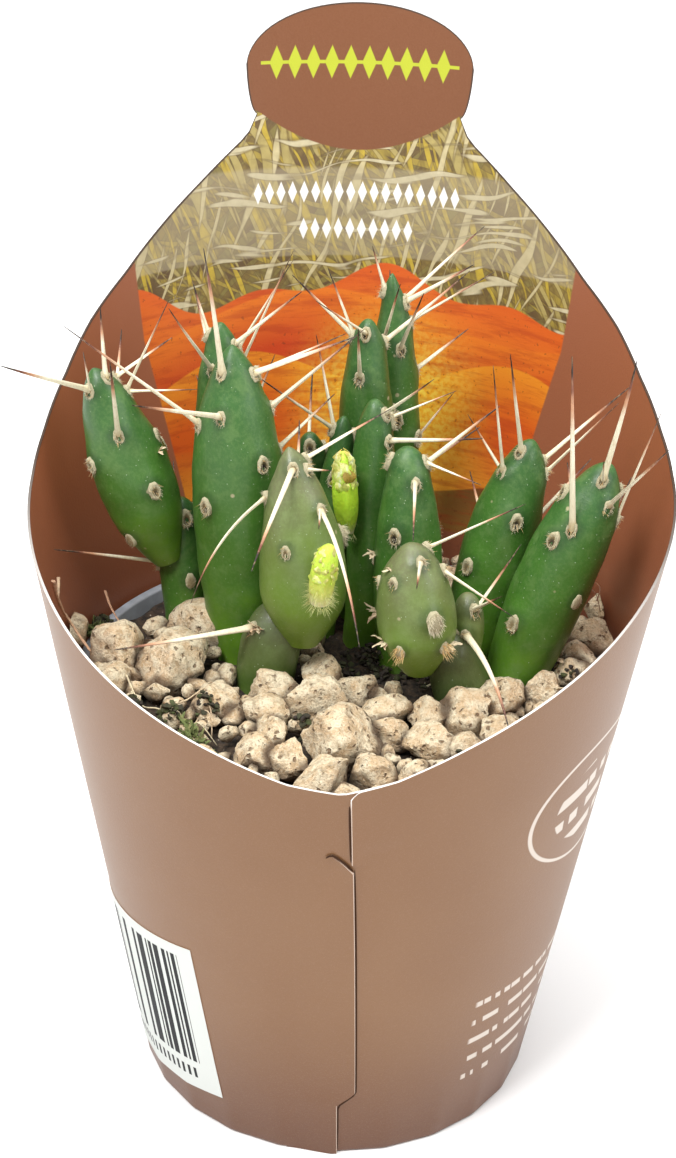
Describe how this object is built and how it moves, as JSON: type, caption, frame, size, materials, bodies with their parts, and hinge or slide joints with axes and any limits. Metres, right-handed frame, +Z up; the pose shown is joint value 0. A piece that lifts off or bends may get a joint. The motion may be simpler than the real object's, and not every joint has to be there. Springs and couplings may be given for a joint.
{
  "type": "potted maihueniopsis molfinoi",
  "caption": "Clump of upright, jointed cactus stems with long spines in pumice gravel, in a nursery pot inside a conical card sleeve with a tall back shield.",
  "frame": {"origin": "centre of the whole part's box, on the surface the sleeve stands on; the sleeve's axis is 0.54 mm to the right of it and 5.246 mm in front of it", "axes": "+Z up along the sleeve's axis, -Y towards the low front rim of the sleeve, +X to the right seen from the front"},
  "size_m": [0.0763, 0.0798, 0.1232],
  "materials": {
    "sleeve_card": "printed card with a satin varnish, white cut edges",
    "pot_plastic": "thin blue-grey moulded plastic, slightly glossy",
    "soil": "dark crumbly potting mix",
    "pumice": "pale tan pumice, rough and pitted",
    "stem_skin": "waxy dark green skin with cream felt areoles and cream spines",
    "young_stem_skin": "grey-green waxy skin, lighter towards the foot",
    "shoot_skin": "lime-green tender skin with a dry golden tip"
  },
  "bodies": {
    "root": {"card_sleeve": "sleeve_card", "nursery_pot": "pot_plastic", "soil": "soil", "pumice_gravel": "pumice", "stem_left": "stem_skin", "stem_centre_left": "stem_skin", "stem_rear_left": "stem_skin", "stem_rear_tall": "stem_skin", "stem_rear_centre": "stem_skin", "stem_centre": "stem_skin", "stem_behind_shoot": "stem_skin", "stem_small_rear": "stem_skin", "stem_centre_right": "stem_skin", "stem_front_left": "young_stem_skin", "stem_front_centre": "young_stem_skin", "stem_right": "stem_skin", "stem_far_right": "stem_skin", "young_shoot_upper": "shoot_skin", "young_shoot_lower": "shoot_skin"}
  },
  "joints": []
}
